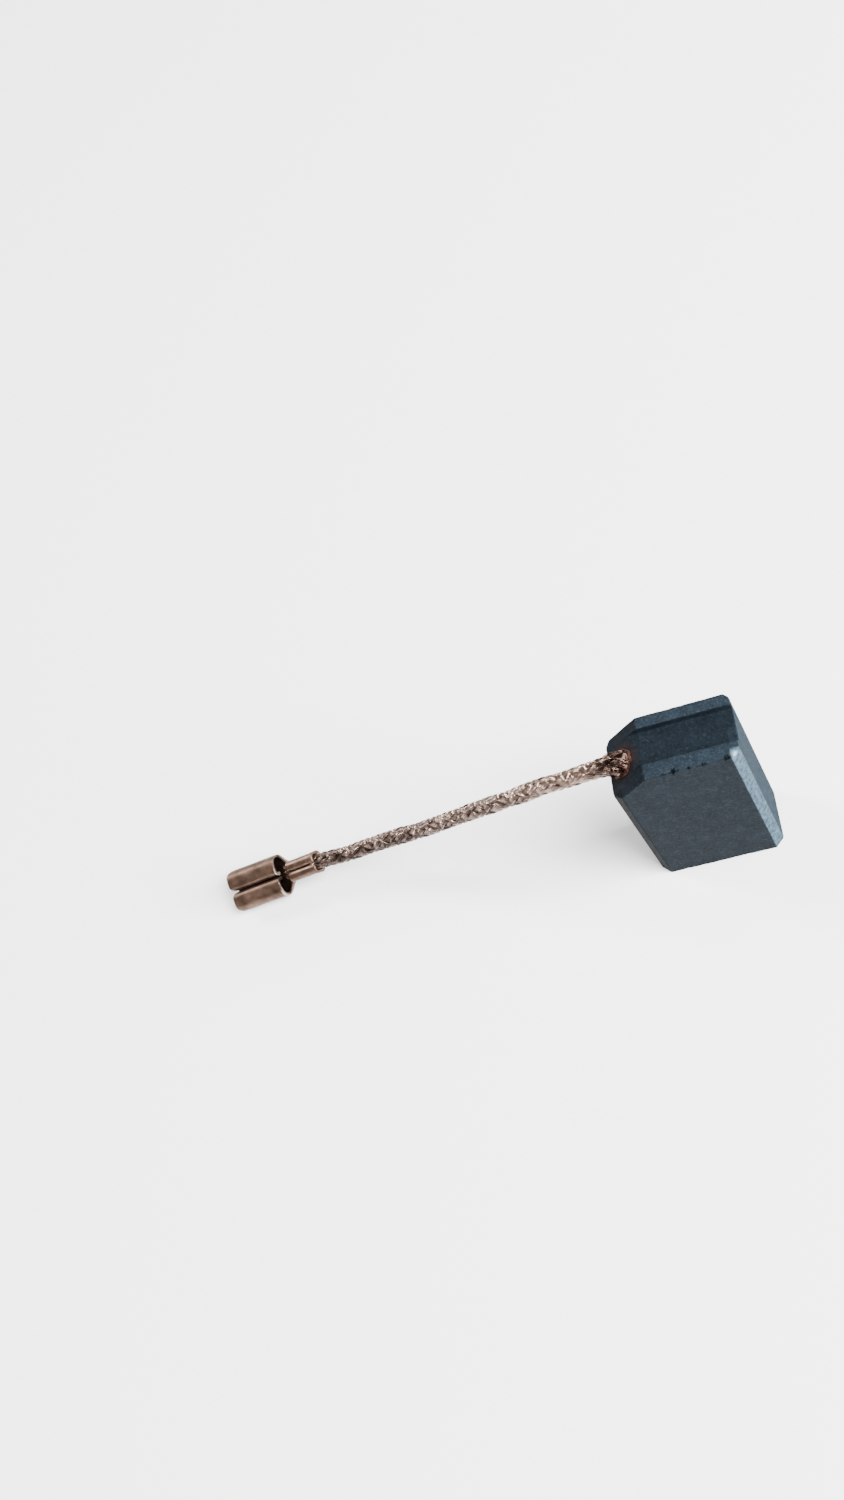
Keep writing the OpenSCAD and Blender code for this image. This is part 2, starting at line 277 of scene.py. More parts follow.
def shifted_route():
    """The route, its ends moved onto the root and onto the crimp mouth and its middle carried along."""
    p = np.array(ROUTE) / MM
    start = ROOT + ROOT_L * LEAD_DIR
    end = lie(bent([[-STRAND_IN, 0, CRIMP_Z]]))[0]
    t = ((p[0, 0] - p[:, 0]) / (p[0, 0] - p[-1, 0]))[:, None]
    return p + (1 - t) * (start - p[0]) + t * (end - p[-1])


LEAD = np.vstack([[ROOT - BURIED_L * HOLE_DIR, ROOT], shifted_route(), lie(bent([[HELD_L, 0, CRIMP_Z]]))])


def braid(name):
    """A tubular braid over a core. Carrier k of each hand runs at angle s*2pi/turn + 2pi k/carriers round the path, its
    radius swelling and sinking in turn as it passes over and under two of the other hand, and its wires lie side by
    side. At the root the radius swells by a bell curve. tint is each wire's tone, with painted light and painted shade
    in it; dusty is 1 at the root, where the wires take dark copper dust and painted shade."""
    path, s = spline(LEAD, STATIONS)
    side, up = frames(path)
    spread = hump(s, BURIED_L, np.where(s < BURIED_L, SPREAD_BACK, SPREAD_ON))
    slack = 1 - step(s, s[-1] - NIP_FROM, s[-1] - NIP_TO)
    outer = LEAD_D / 2 - WIRE_DEPTH + SPREAD * spread + WANDER * value_noise(lane(s), 2.3, 5) * slack * (1 - spread)
    flat = 1 - SLACK_FLAT * (1 - spread) * slack + LAID_FLAT * value_noise(lane(s), 4.1, 6)
    # painted highlight: wires lighter near the block, and darker towards the far end
    glint_and_far_darkening = NEAR_BLOCK_GLINT * (1 - step(s, *NEAR_BLOCK_GLINT_TO)) - FAR_END_DARKER * step(s, *FAR_END_DARKER_FROM)
    even = 1 - EVENED * step(s, *EVEN_FROM)
    # dark copper dust and painted shade where the lead enters the hole
    dust_and_shade = 1 - step(s, *DUST_SHADE_TO)
    lines, tint = [], []
    for hand in (-1, 1):
        for k in range(CARRIERS):
            angle = hand * TAU * s / TURN_L + TAU * k / CARRIERS + TWIST * value_noise(lane(s, k, hand), 3.1, 9)
            # weave also darkens the wires where they pass under: painted shade at the crossings
            weave = np.sin(CARRIERS * TAU * s / TURN_L + math.pi * (k + (hand > 0))) * hand
            jitter = RNG.normal(0, 1, PER_CARRIER)
            for w in range(PER_CARRIER):
                place = (w - (PER_CARRIER - 1) / 2) / PER_CARRIER * (TAU / CARRIERS * COVER)
                a = angle + place * (1 + FANNED * jitter[w]) + SWAYED * jitter[w]
                r = outer + RELIEF * weave + LOOSE * jitter[w] * (1 + SPREAD_LOOSE * spread)
                r = r + SPREAD_APART * spread * np.abs(jitter[w])
                lines.append(path + (r * np.cos(a))[:, None] * side + (r * flat * np.sin(a))[:, None] * up)
                tone = TONE + TONE_SPREAD * RNG.normal() + glint_and_far_darkening
                # the cos(a) term is painted light: one side of the lead lighter
                tint.append(tone + WEAVE_PAINTED_SHADE * weave * even + SIDE_PAINTED_LIGHT * np.cos(a))
    points, quads, ends = wires(lines, WIRE_R, WIRE_SIDES)
    core_r = np.maximum(outer - CORE_DEPTH, CORE_LEAST) * (1 - SPREAD_CORE * spread)
    a = TAU * np.arange(CORE_SIDES) / CORE_SIDES
    core = path[:, None] + core_r[:, None, None] * (
        np.cos(a)[:, None] * side[:, None] + (flat[:, None] * np.sin(a))[..., None] * up[:, None])
    first = np.array([len(points)])
    core_ends = tube_ends(first, first + (STATIONS - 1) * CORE_SIDES, CORE_SIDES)
    obj = make(
        name, np.vstack([points, core.reshape(-1, 3)]),
        np.vstack([quads, grid_faces(STATIONS, CORE_SIDES, True, len(points))]), np.vstack([ends, core_ends]),
        attributes={
            "tint": np.append(np.repeat(np.ravel(tint), WIRE_SIDES), np.full(STATIONS * CORE_SIDES, CORE_SHADE_TONE)),
            "dust_and_shade": np.append(np.tile(np.repeat(dust_and_shade, WIRE_SIDES), len(lines)), np.repeat(dust_and_shade, CORE_SIDES)),
        })
    return obj, path, s[-1]


lead, lead_path, lead_length = braid("braided_lead")
lead_length -= BURIED_L
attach(lead, "root")
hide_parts("shunt_lead")


# ---------------------------------------------------------------- tamped powder at the root
SLOPE = unit(np.array([-SLANT_RUN, 0.0, -SLANT_DROP]))
SLANT_N = unit(np.array([-SLANT_DROP, 0.0, SLANT_RUN]))
POWDER_R, POWDER_LONG, POWDER_LOWEST = 1.75, 1.12, 1.45  # radius, stretch down the slope, and the slope's lower edge
POWDER_RINGS, POWDER_SPOKES = 46, 120
RIM_R, RIM_RAGGED, RIM_IN, RIM_OUT = 1.2, 0.22, 0.25, 0.15  # radius of the rim, its raggedness, and how it falls off
SUNK, MOUND, GRAIN, COLLAR, COLLAR_R = 0.12, 0.15, 0.05, 0.22, 0.75  # depth of the patch's edge, then heights over it
UNDER_CHANNEL = 0.04


def powder(name):
    """A grainy patch on the slanted face, a grid of rings and spokes cut off at the slope's lower edge. Its height over
    the face is a low mound with grain, and a bell curve round the lead; it falls off past a ragged rim, and stays
    under the channel's floor."""
    radii = np.linspace(0, POWDER_R, POWDER_RINGS)[:, None]
    turn = (TAU * np.arange(POWDER_SPOKES) / POWDER_SPOKES)[None, :]
    down = np.minimum(radii * np.cos(turn) * POWDER_LONG, POWDER_LOWEST)
    across = radii * np.sin(turn)
    flat = ROOT + down[..., None] * SLOPE + across[..., None] * np.array([0, 1.0, 0])
    round_rim = np.stack([np.cos(turn) * RIM_R + 0 * down, np.sin(turn) * RIM_R + 0 * down, 0 * down], -1)
    rim = RIM_R + RIM_RAGGED * rough(round_rim, 0.8, 21)
    inside = 1 - step(radii + 0 * down, rim - RIM_IN, rim + RIM_OUT)
    height = -SUNK + inside * (MOUND + GRAIN * rough(flat, 0.25, 22, 4)) + COLLAR * hump(radii, 0, COLLAR_R) * inside
    height = np.minimum(height, (CHANNEL_Z - UNDER_CHANNEL - flat[..., 2]) / SLANT_N[2])
    return make(name, flat + height[..., None] * SLANT_N, grid_faces(POWDER_RINGS, POWDER_SPOKES, True))


plug = powder("tamped_copper_powder")
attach(plug, "root")
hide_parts("tamping_plug")


# ---------------------------------------------------------------- strands in the crimp
STRAND_R, STRAND_SIDES, STRAND_STATIONS = 0.037, 7, 7
STRAND_BED, STRAND_WALL = 0.62, 0.36  # half width of the crimp's inside, and of the space that the curled wings fill
# far end: rows and layers, every second layer shifted; above the bed, strands lie only beside the curled wings
FAR_Y, FAR_Z, FAR_SHIFT, FAR_BED = np.arange(-0.60, 0.61, 0.082), np.arange(-0.38, 0.25, 0.072), 0.041, -0.08
# where these start inside the crimp, how far they stand out past it, and how they fan over that stretch
FAR_START, FAR_LONGER, FAR_UNEVEN, FAR_LEAST, FAR_MOST = 0.5, 0.22, 0.16, 0.2, 0.95
FAN, FAN_STRAY, FAN_UP, FAN_UP_STRAY, FAN_L = 0.12, 0.05, 0.10, 0.05, 0.8
# mouth: rows, layers and bed, where the strands start and how long they are, and how they draw in towards the lead
MOUTH_Y, MOUTH_Z, MOUTH_BED = np.arange(-0.60, 0.61, 0.075), np.arange(-0.40, 0.43, 0.075), -0.12
MOUTH_START, MOUTH_L, MOUTH_STRAY = -0.55, 1.25, 0.02
DRAWN_IN, DRAWN_FROM, DRAWN_TO = 0.20, -0.50, 0.02
# the mouth strands' low tone is painted shade in the crimp's mouth
FAR_TONE, MOUTH_SHADE_TONE, STRAND_TONE_SPREAD = 0.6, 0.15, 0.2


def strand_ends(name):
    """Strands at both ends of the crimp: short wires at the points of a grid, clear of the curled wings. At the far end
    they are cut and fan out a little, y*(1+0.12 out); at the near one they draw in towards the lead."""
    t = np.linspace(0, 1, STRAND_STATIONS)[None, :]
    y, z = np.meshgrid(FAR_Y, FAR_Z)
    y = y + FAR_SHIFT * (np.arange(len(z))[:, None] % 2)
    keep = (np.abs(y) < STRAND_BED) & ((z < FAR_BED) | (np.abs(y) > STRAND_WALL))
    y, z = y[keep], z[keep]
    reach = STRAND_OUT + FAR_LONGER + FAR_UNEVEN * RNG.normal(size=len(y))
    x = CRIMP_L - FAR_START + t * (FAR_START + np.clip(reach, FAR_LEAST, FAR_MOST))[:, None]
    out = step(x, CRIMP_L, CRIMP_L + FAN_L)
    fan_y = y[:, None] * (1 + FAN * out) + FAN_STRAY * out * RNG.normal(size=(len(y), 1))
    fan_z = z[:, None] + out * (FAN_UP * z[:, None] + FAN_UP_STRAY * np.abs(RNG.normal(size=(len(y), 1))))
    far = bent(np.stack([x, fan_y, fan_z + CRIMP_Z], -1), 1 - step(x, CRIMP_L - 0.3, CRIMP_L + 0.3))

    y, z = np.meshgrid(MOUTH_Y, MOUTH_Z)
    keep = (z < MOUTH_BED) | (np.abs(y) > STRAND_WALL)
    y, z = y[keep][:, None], z[keep][:, None]
    x = MOUTH_START + MOUTH_L * t + 0 * y
    close = 1 - DRAWN_IN + DRAWN_IN * step(x, DRAWN_FROM, DRAWN_TO)
    near = bent(np.stack([x, y * close, z * close + CRIMP_Z + MOUTH_STRAY * RNG.normal(size=y.shape)], -1))

    both = np.concatenate([far, near])
    tone = np.where(np.arange(len(both)) < len(far), FAR_TONE, MOUTH_SHADE_TONE)
    tone = tone + STRAND_TONE_SPREAD * RNG.normal(size=len(both))
    points, quads, ends = wires(lie(both), STRAND_R, STRAND_SIDES)
    return make(name, points, quads, ends, attributes={"tint": np.repeat(tone, STRAND_STATIONS * STRAND_SIDES)})


strands = strand_ends("crimped_strands")
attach(strands, "root")
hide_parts("crimped_end")


# ---------------------------------------------------------------- the receptacle, one folded strip
CRIMP_BENDS = (0.5, 0.5, 0.36, 0.02, 0.35)  # top, low and seam radius, gap at the seam, slot under it
BARREL_BENDS = (TERM_H / 2, LOW_BEND, 0.55, 0.14, 0.5)
SECTION_POINTS, HALF_POINTS = 260, 64
CRIMP_TROUGH, BARREL_TROUGH = 1.42, 2.12  # half the strip's width where the neck leaves only a trough
FLARE, FLARE_L = 0.07, 0.28  # how much the crimp's mouth opens, and over what length
EDGE_L, EDGE_THIN = 0.07, 0.62  # length over which the strip's ends round off, and the share of the sheet left there
CORNER_R, SEAM_HALF, SEAM_SHARE = 0.5, 0.07, 0.8  # rounding of the barrel's mouth at its corners, and at the seam
NECK_X, BARREL_X = CRIMP_L, CRIMP_L + NECK_L


def arc(cy, cz, r, a0, a1, n):
    """Points of a circle's arc from angle a0 to a1 in degrees."""
    a = np.radians(np.linspace(a0, a1, n))
    return np.stack([cy + r * np.cos(a), cz + r * np.sin(a)], -1)


def half_section(w, h, r_top, r_low, r_seam, gap, slot):
    """Middle line of one wing: along the floor, round the low bend, up, over the top, round and down at the seam."""
    m = SHEET / 2
    line = np.vstack([
        [[0, m - h / 2]],
        arc(w / 2 - r_low, r_low - h / 2, r_low - m, -90, 0, 14),
        arc(w / 2 - r_top, h / 2 - r_top, r_top - m, 0, 90, 26),
        arc(gap / 2 + r_seam, h / 2 - r_seam, r_seam - m, 90, 180, 20),
        [[gap / 2 + m, SHEET + slot - h / 2]],
    ])
    s = np.concatenate([[0], np.cumsum(np.linalg.norm(np.diff(line, axis=0), axis=1))])
    t = np.linspace(0, s[-1], SECTION_POINTS)
    return np.stack([np.interp(t, s, line[:, 0]), np.interp(t, s, line[:, 1])], -1), s[-1]


def strip_stations():
    """Stations along the strip, close together at its ends and at the two shoulders of the neck."""
    spans = (
        (0, 0.2, 9), (0.2, NECK_X - 0.2, 30), (NECK_X - 0.2, NECK_X + 0.35, 30), (NECK_X + 0.35, BARREL_X - 0.3, 14),
        (BARREL_X - 0.3, BARREL_X + 0.2, 34), (BARREL_X + 0.2, TERM_L - 0.7, 40), (TERM_L - 0.7, TERM_L, 40))
    return np.unique(np.concatenate([np.linspace(*span) for span in spans]))


def strip_lines(xs):
    """The strip's middle line at each station, from one wing's edge to the other's. The half section blends from crimp
    to barrel along the neck, and is cut at a length that drops to the trough's wall there. The mouth flares."""
    crimp, crimp_s = half_section(CRIMP_W, CRIMP_H, *CRIMP_BENDS)
    crimp = crimp + [0, CRIMP_Z]
    barrel, barrel_s = half_section(TERM_W, TERM_H, *BARREL_BENDS)
    rows = []
    for x in xs:
        t = step(x, NECK_X + 0.1, BARREL_X - 0.05)
        full = crimp * (1 - t) + barrel * t
        length = crimp_s * (1 - t) + barrel_s * t
        wall = CRIMP_TROUGH * (1 - t) + BARREL_TROUGH * t
        keep = wall + (crimp_s - wall) * (1 - step(x, NECK_X - 0.02, NECK_X + 0.16))
        keep = keep + (barrel_s - keep) * step(x, BARREL_X - 0.14, BARREL_X + 0.02)
        v = np.linspace(0, min(1, keep / length), HALF_POINTS) * (SECTION_POINTS - 1)
        line = np.stack([np.interp(v, np.arange(SECTION_POINTS), full[:, k]) for k in (0, 1)], -1)
        flare = 1 + FLARE * math.exp(-((x / FLARE_L) ** 2))
        rows.append((line - [0, CRIMP_Z]) * flare + [0, CRIMP_Z] if x < 1 else line)
    half = np.array(rows)
    return np.concatenate([half[:, :0:-1] * [-1, 1], half], 1)


def receptacle(name):
    """The strip's middle lines, thickened square to themselves into closed rings and joined along the strip. The ends
    round off, the barrel's mouth is cut back at its corners and at the seam by r-sqrt(r*r-d*d), and the crimp is bent
    up at the neck. inside is 1 within the rolled wings, where it marks painted shade; rim is 1 on the wings' edges by
    the neck, most on their lower parts, where it marks a painted highlight."""
    xs = strip_stations()
    line = strip_lines(xs)
    rows, width = line.shape[:2]
    tangent = unit(np.gradient(line, axis=1))
    normal = np.stack([-tangent[..., 1], tangent[..., 0]], -1)
    end = np.minimum(xs, TERM_L - xs)[:, None, None]
    rounded = np.sqrt(np.clip(1 - (1 - np.clip(end / EDGE_L, 0, 1)) ** 2, 0, 1))
    thick = SHEET / 2 * (EDGE_THIN + (1 - EDGE_THIN) * rounded)
    inner, outer = line + thick * normal, line - thick * normal
    lip = 0.5 * thick[:, :1]
    ring = np.concatenate([
        outer[:, :1] + lip * tangent[:, :1] * 0.2, outer[:, 1:-1], outer[:, -1:] - lip * tangent[:, -1:] * 0.2,
        line[:, -1:] + lip * tangent[:, -1:], inner[:, ::-1], line[:, :1] - lip * tangent[:, :1],
    ], 1)
    m = ring.shape[1]

    x = np.broadcast_to(xs[:, None], ring.shape[:2])
    reach, r, slit_x = np.abs(ring[..., 0]), CORNER_R, BARREL_X + 0.3
    side_cut = r - np.sqrt(np.clip(r * r - np.clip(reach - (TERM_W / 2 - r), 0, r) ** 2, 0, None))
    seam_cut = r - np.sqrt(np.clip(r * r - np.clip(SEAM_HALF + r - reach, 0, r) ** 2, 0, None))
    cut = np.maximum(side_cut, SEAM_SHARE * np.where(ring[..., 1] > -0.4, seam_cut, 0))
    x = np.where(x > slit_x, x - cut * (x - slit_x) / (TERM_L - slit_x), x)
    body = np.concatenate([x[..., None], ring], -1)
    body = body + 0.012 * value_noise(body, 1.1, 31)[..., None] * [0, 1, 1]
    points = lie(bent(body, 1 - step(body[..., 0], NECK_X - 0.25, NECK_X + 0.45)))

    a = np.arange(width - 1)
    b = m - 2 - a
    near = np.stack([a, a + 1, b - 1, b], -1)
    noses = np.array([(width - 1, width, width + 1), (m - 1, 0, m - 2)])
    last = (rows - 1) * m
    quads = np.vstack([grid_faces(rows, m, True), near[:, ::-1], near + last])
    inside = np.zeros((rows, m))
    # painted shade inside the rolled wings
    inside[:, width + 1:-1] = step(xs, NECK_X, BARREL_X + 0.25)[:, None]
    # painted highlight on the wings' edges by the neck, strongest on their lower parts
    low = np.where(ring[..., 0] < 0, step(ring[..., 0], -0.80, -0.40), step(ring[..., 0], 1.10, 1.50))
    rim = hump(xs, BARREL_X - 0.02, 0.07)[:, None] * (ring[..., 1] > -0.55) * (0.1 + 0.9 * low)
    return make(name, points, quads, np.vstack([noses[:, ::-1], noses + last]), attributes={
        "inside": inside * (1 - rim), "rim": rim})


terminal = receptacle("push_on_receptacle")
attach(terminal, "root")
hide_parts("terminal")


# ---------------------------------------------------------------- the block
HALF_W, HALF_T = BODY_W / 2, BODY_T / 2
END_BAND, END_ROUND, CREASE = 0.12, 0.09, 0.10  # finely divided stretch at each end, its rounding, and a crease's
END_RINGS = (1.0, 0.9, 0.6, 0.3, 0.1)  # sizes of the rings that close an end
# how many points lie between one corner and the next, and how much closer they lie towards the corners
BETWEEN = ((30, 0.3), (110, 0.85), (4, 0), (3, 0), (26, 0.3), (3, 0), (10, 0.2), (110, 0.85))
# radius of each long edge: its least, what wear adds at most, and its noise's seed; the front top edge wears most
FOOT0, FOOT1, BACK_TOP = (0.05, 0.10, 45), (0.05, 0.10, 46), (0.05, 0.08, 42)
LIP0, LIP1 = (0.035, 0.12, 43), (0.03, 0.06, 44)
FRONT_TOP, WORN_IN, WORN_DOWN = 0.09, 0.50, 0.46
FILLET, LIP_MOST, STRIP_MOST = 0.06, 0.45, 0.8  # shares of the channel's depth, and of the strip's width
SWELL, DIP = 0.010, 0.020  # how far the faces swell, and dip in spots
# marks for the finish: how much painted sheen the far side and its chamfer get, then how light the front is, the
# painted light that the top adds, the painted shade that the channel, the slope and the left chamfer take, and the
# chips' darkening
SIDE_PAINTED_SHEEN, CHAMFER_PAINTED_SHEEN = 0.17, 0.76
FRONT_LIFT, TOP_PAINTED_LIGHT, CHANNEL_PAINTED_SHADE, SLOPE_PAINTED_SHADE, CHIP_DIM, LEFT_PAINTED_SHADE = 0.82, 0.47, 0.14, 0.14, 0.65, 0.45
# NICK_HIGHLIGHT_R sizes the painted highlight at the nicked corner
CHIP_REACH, NICK_HIGHLIGHT_R = 0.42, 0.21  # how far chips reach from the front top edge, and the bright nick's size


def soft_min(a, b, r):
    """Smaller of a and b, rounded where they cross."""
    h = np.clip(0.5 + 0.5 * (b - a) / r, 0, 1)
    return b * (1 - h) + a * h - r * h * (1 - h) / 2


def corner(cy, cz, ry, rz, a0, a1, n=8):
    """Rounded corner at every station: an ellipse's arc about (cy, cz) from angle a0 to a1 in degrees."""
    a = np.radians(np.linspace(a0, a1, n))[None, :]
    return np.stack([cy[:, None] + ry[:, None] * np.cos(a), cz[:, None] + rz[:, None] * np.sin(a)], -1)


def between(p, q, n, ease):
    """The n points of a straight run from corner p's end to corner q's start, at t - ease*sin(2pi t)/2pi."""
    t = np.linspace(0, 1, n + 2)[1:-1]
    t = t - ease * np.sin(TAU * t) / TAU
    return p[:, -1:] + t[None, :, None] * (q[:, :1] - p[:, -1:])


def edge_radius(line, base, extra, seed):
    """Radius of an edge along line: base, and up to extra more where its noise is high."""
    return base + extra * np.clip(rough(line, 0.5, seed, 4) - 0.15, 0, 1) ** 1.3


def block_sections(xs):
    """The outline across X at each station, a ring of floor, side, strip, spring channel, strip and side, and how far
    its front top edge is worn off there."""
    d = np.clip(np.abs(xs) - (HALF_W - END_ROUND), 0, END_ROUND)
    inset = END_ROUND - np.sqrt(END_ROUND**2 - d**2)
    whole = np.ones_like(xs)
    front = soft_min(HALF_T * whole, HALF_T - (np.abs(xs) - (HALF_W - CHAMFER)), CREASE) - inset
    back = soft_min(HALF_T * whole, HALF_T - (np.abs(xs) - (HALF_W - BACK_CHAMFER)), CREASE) - inset
    slant = BODY_L - (-HALF_W + SLANT_RUN - xs) * SLANT_DROP / SLANT_RUN
    top = soft_min(BODY_L * whole, slant, CREASE) - inset
    low = soft_min(CHANNEL_Z * whole, slant - 0.02, 0.06) - inset
    y0, y1 = CHANNEL_SHIFT - CHANNEL_W / 2, CHANNEL_SHIFT + CHANNEL_W / 2
    line = lane(xs)
    near = np.minimum(FRONT_TOP + WORN_IN * np.clip(rough(line, 0.34, 41, 4), 0, 1), (front + y0) * STRIP_MOST)
    down = np.minimum(FRONT_TOP + WORN_DOWN * np.clip(rough(line, 0.30, 47, 4), 0, 1), 0.8 * near + 0.12)
    far = np.minimum(edge_radius(line, *BACK_TOP), (back - y1) * STRIP_MOST + 0.001)
    depth = np.maximum(top - low, 0.01)
    lip0 = np.minimum(edge_radius(line, *LIP0), depth * LIP_MOST)
    lip1 = np.minimum(edge_radius(line, *LIP1), depth * LIP_MOST)
    foot0, foot1 = edge_radius(line, *FOOT0), edge_radius(line, *FOOT1)
    fillet = depth * FILLET
    corners = [
        corner(-front + foot0, inset + foot0, foot0, foot0, 180, 270),
        corner(back - foot1, inset + foot1, foot1, foot1, 270, 360),
        corner(back - far, top - far, far, far, 0, 90),
        corner(y1 + lip1, top - lip1, lip1, lip1, 90, 180),
        corner(y1 - fillet, low + fillet, fillet, fillet, 360, 270, 4),
        corner(y0 + fillet, low + fillet, fillet, fillet, 270, 180, 4),
        corner(y0 - lip0, top - lip0, lip0, lip0, 0, 90),
        corner(-front + near, top - down, near, down, 90, 180),
    ]
    ring = []
    for i, part in enumerate(corners):
        ring += [part, between(part, corners[(i + 1) % len(corners)], *BETWEEN[i])]
    return np.concatenate(ring, 1), near + down


def end_face(edge, first, count, turned):
    """One end of the block, closed inwards from the outline edge whose points start at first: rings that shrink to a
    middle point, then a fan. The rings come from the outline held below the channel, so none folds over it. count is
    how many points there are already."""
    plain = np.column_stack([edge[:, :2], np.minimum(edge[:, 2], CHANNEL_Z - 0.35)])
    middle = np.array([edge[0, 0], 0.0, 0.5 * (plain[:, 2].min() + plain[:, 2].max())])
    points = np.vstack([middle + (plain - middle) * f for f in END_RINGS] + [middle])
    m = len(edge)
    grid = np.concatenate([first + np.arange(m), count + np.arange(len(END_RINGS) * m)]).reshape(-1, m)
    a, b = grid[:-1], grid[1:]
    quads = np.stack([a, np.roll(a, -1, 1), np.roll(b, -1, 1), b], -1).reshape(-1, 4)
    fan = np.stack([grid[-1], np.roll(grid[-1], -1), np.full(m, count + len(END_RINGS) * m)], -1)
    return (points, quads[:, ::-1], fan[:, ::-1]) if turned else (points, quads, fan)


def block_marks(points, xs, wear):
    """Marks that the finish follows: how much painted sheen each point gets; how light its carbon is against the front
    face, with painted light on the top, painted shade in the channel, on the slope and by the left chamfer, and darker
    chips; and how near it lies to the painted highlight at the nicked corner."""
    x, y, z = points.T
    chamfer_x, chamfer_y = HALF_W - CHAMFER, HALF_T - CHAMFER
    # painted sheen: only the far, lit side and its chamfer are made lighter
    side = np.where(y < 0, step(x, chamfer_x - 0.03, chamfer_x + 0.03), step(x, HALF_W - 0.06, HALF_W - 0.02))
    cut = side * step(-y, chamfer_y - 0.03, chamfer_y + 0.03)
    strip_end = (side - cut) * step(z, CHANNEL_Z - 0.12, CHANNEL_Z + 0.08)
    painted_sheen = np.clip(SIDE_PAINTED_SHEEN * (side - strip_end) + CHAMFER_PAINTED_SHEEN * cut, 0, 1)

    top = step(z, BODY_L - 0.12, BODY_L - 0.03)
    sunk = (np.abs(y - CHANNEL_SHIFT) < CHANNEL_W / 2 - 0.02) * step(z, CHANNEL_Z - 0.3, CHANNEL_Z - 0.1)
    slope = (z > BODY_L - SLANT_DROP - 0.1) * (x < SLANT_RUN - HALF_W - 0.05) * (y > 0.08 - HALF_T)
    chips = (y < CHIP_REACH - HALF_T) * (z > BODY_L - CHIP_REACH) * np.interp(x, xs, step(wear, 0.08, 0.36))
    chips = chips * (np.abs(y + HALF_T) > 0.02) * (np.abs(z - BODY_L) > 0.02)
    left = (x < 0.1 + CHAMFER - HALF_W) * step(-y, chamfer_y - 0.1, chamfer_y)
    # painted light on the top strips, painted shade in the channel, on the slanted face and by the left chamfer; chips
    # darker
    painted_light_and_chips = FRONT_LIFT + TOP_PAINTED_LIGHT * top - CHANNEL_PAINTED_SHADE * sunk - SLOPE_PAINTED_SHADE * slope
    painted_light_and_chips = painted_light_and_chips * (1 - CHIP_DIM * chips) * (1 - LEFT_PAINTED_SHADE * left)

    # painted highlight: a pale spot at the nicked front corner
    away = (x - HALF_W + 0.42) ** 2 + (y + HALF_T - 0.30) ** 2 + ((z - BODY_L + 0.15) / 1.3) ** 2
    return {"painted_sheen": painted_sheen, "painted_light_and_chips": painted_light_and_chips, "nick_highlight": np.exp(-away / NICK_HIGHLIGHT_R**2)}


def block(name):
    """The block's outline carried along X. Its thickness narrows over the chamfers, its top follows the slant, every
    edge has a radius that wanders along it, and its faces swell and dip by noise."""
    xs = np.unique(np.round(np.concatenate([
        np.linspace(-HALF_W, -HALF_W + END_BAND, 7), np.linspace(-HALF_W + END_BAND, HALF_W - END_BAND, 235),
        np.linspace(HALF_W - END_BAND, HALF_W, 7)]), 5))
    ring, wear = block_sections(xs)
    rows, m = ring.shape[:2]
    p = np.concatenate([np.broadcast_to(xs[:, None, None], (rows, m, 1)), ring], -1)
    dimple = SWELL * rough(p, 1.6, 51, 3) - DIP * np.clip(rough(p, 0.45, 52, 3) - 0.75, 0, 1)
    out = unit((p - [0, 0, BODY_L / 2]) * [0.0, 1.0, 0.0]) * (np.abs(p[..., 1:2]) > 1.9)
    p = p + dimple[..., None] * out
    first_points, first_quads, first_fan = end_face(p[0], 0, rows * m, False)
    last_points, last_quads, last_fan = end_face(p[-1], (rows - 1) * m, rows * m + len(first_points), True)
    points = np.vstack([p.reshape(-1, 3), first_points, last_points])
    quads = np.vstack([grid_faces(rows, m, True)[:, ::-1], first_quads, last_quads])
    return make(name, points, quads, np.vstack([first_fan, last_fan]), attributes=block_marks(points, xs, wear))


brick = block("carbon_body")
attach(brick, "root")
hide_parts("carbon_block")


